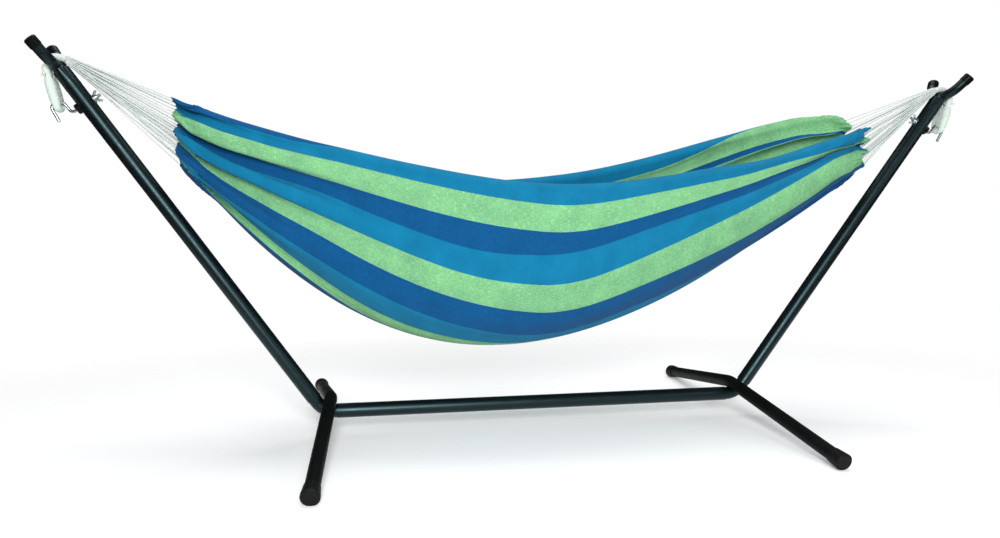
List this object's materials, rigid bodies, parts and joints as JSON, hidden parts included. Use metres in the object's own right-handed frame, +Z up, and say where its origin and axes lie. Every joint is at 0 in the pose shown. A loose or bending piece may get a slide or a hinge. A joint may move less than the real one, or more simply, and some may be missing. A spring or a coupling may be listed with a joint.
{
  "type": "hammock with stand",
  "caption": "Striped cloth hammock gathered on cotton strings between the forked arms of a freestanding black steel tube stand with splayed cross feet.",
  "frame": {"origin": "on the floor under the middle of the base beam", "axes": "+X along the stand, +Y across it away from the front, +Z up"},
  "size_m": [2.823, 1.098, 1.1358],
  "materials": {
    "stand_paint": "satin black powder coat",
    "foot_paint": "matt black powder coat",
    "boot_rubber": "matt moulded rubber",
    "cap_plastic": "semi-matt moulded plastic",
    "zinc": "bright zinc plate",
    "rope_cotton": "whipped cotton rope, off white",
    "string_cotton": "twisted cotton string, white",
    "striped_cloth": "woven cotton in navy, blue and green stripes"
  },
  "bodies": {
    "stand": {"arm_tube_left": "stand_paint", "arm_tube_right": "stand_paint", "base_beam": "stand_paint", "elbow_left": "stand_paint", "elbow_right": "stand_paint", "end_loop_left": "rope_cotton", "end_loop_right": "rope_cotton", "foot_cap_left_front": "boot_rubber", "foot_cap_left_rear": "boot_rubber", "foot_cap_right_front": "boot_rubber", "foot_cap_right_rear": "boot_rubber", "foot_tube_left": "foot_paint", "foot_tube_right": "foot_paint", "fork_cap_left_front": "cap_plastic", "fork_cap_left_rear": "cap_plastic", "fork_cap_right_front": "cap_plastic", "fork_cap_right_rear": "cap_plastic", "fork_left": "stand_paint", "fork_right": "stand_paint", "hook_bolt_left": "zinc", "hook_bolt_right": "zinc", "inner_washer_left": "zinc", "inner_washer_right": "zinc", "outer_washer_left": "zinc", "outer_washer_right": "zinc", "rope_neck_left": "rope_cotton", "rope_neck_right": "rope_cotton", "saddle_spacer_left": "cap_plastic", "saddle_spacer_right": "cap_plastic"},
    "hammock": {"hammock_bed": "striped_cloth", "clew_strings_left": "string_cotton", "clew_strings_right": "string_cotton"},
    "wing_nut_left": {"wing_nut_left": "zinc"},
    "wing_nut_right": {"wing_nut_right": "zinc"}
  },
  "joints": [
    {"name": "hammock_swing", "type": "hinge", "parent": "stand", "child": "hammock", "pos_m": [0, 0, 1.0895], "axis": [1, 0, 0], "range_deg": [-20, 20]},
    {"name": "wing_nut_left_turn", "type": "hinge", "parent": "stand", "child": "wing_nut_left", "pos_m": [-1.27185, 0, 0.99228], "axis": [0.829, 0, 0.5592], "continuous": true},
    {"name": "wing_nut_right_turn", "type": "hinge", "parent": "stand", "child": "wing_nut_right", "pos_m": [1.27185, 0, 0.99228], "axis": [-0.829, 0, 0.5592], "continuous": true}
  ]
}
